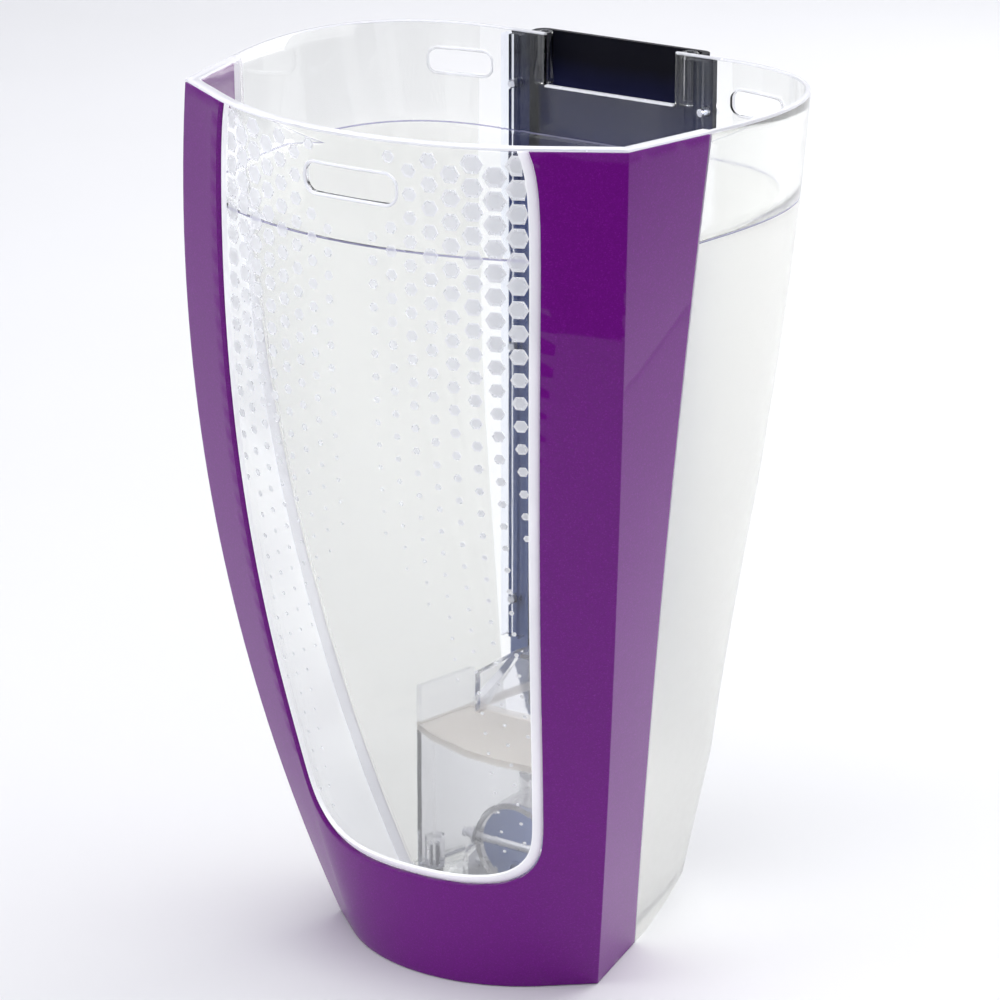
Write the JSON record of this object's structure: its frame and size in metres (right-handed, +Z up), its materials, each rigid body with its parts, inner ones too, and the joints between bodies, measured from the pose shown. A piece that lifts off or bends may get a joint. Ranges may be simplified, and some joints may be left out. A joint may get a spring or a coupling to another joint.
{
  "type": "carpet cleaner recovery tank",
  "caption": "Clear tapering recovery tank of an upright carpet cleaner, open on top, with a purple front frame, rear duct and floor inlet flap.",
  "frame": {"origin": "centre of the inlet port's mouth, on the surface the tank stands on", "axes": "+Z up, -Y towards the clear front window, +Y towards the rear duct, +X to the tank's left as seen by the tank"},
  "size_m": [0.209, 0.1756, 0.32],
  "materials": {
    "clear_plastic": "glossy clear injection-moulded plastic",
    "purple_plastic": "glossy metallic purple plastic",
    "pale_trim": "glossy translucent white plastic",
    "black_plastic": "satin black plastic",
    "slate_plastic": "satin dark blue-grey plastic",
    "rubber": "matte black rubber",
    "steel": "zinc-plated steel"
  },
  "bodies": {
    "tank": {"tank_shell": "clear_plastic", "front_shroud": "purple_plastic", "window_trim": "pale_trim", "duct_cover": "black_plastic", "duct_cover_seal": "rubber", "duct_cover_screws": "steel", "duct_rail_left": "clear_plastic", "duct_rail_right": "clear_plastic", "riser_housing": "clear_plastic", "riser_seal": "rubber", "riser_screws": "steel", "inlet_port": "clear_plastic", "inlet_port_gasket": "rubber", "inlet_port_screws": "steel", "flap_spring": "steel", "inlet_ring_seal": "rubber"},
    "flap": {"inlet_flap": "slate_plastic", "flap_seal": "rubber", "flap_pin": "steel", "flap_pin_clips": "steel"}
  },
  "joints": [
    {"name": "flap_hinge", "type": "hinge", "parent": "tank", "child": "flap", "pos_m": [0, -0.0345, 0.0285], "axis": [1, 0, 0], "range_deg": [0, 50], "stiffness_Nm_per_rad": 0.002, "springref_deg": -20.05}
  ]
}
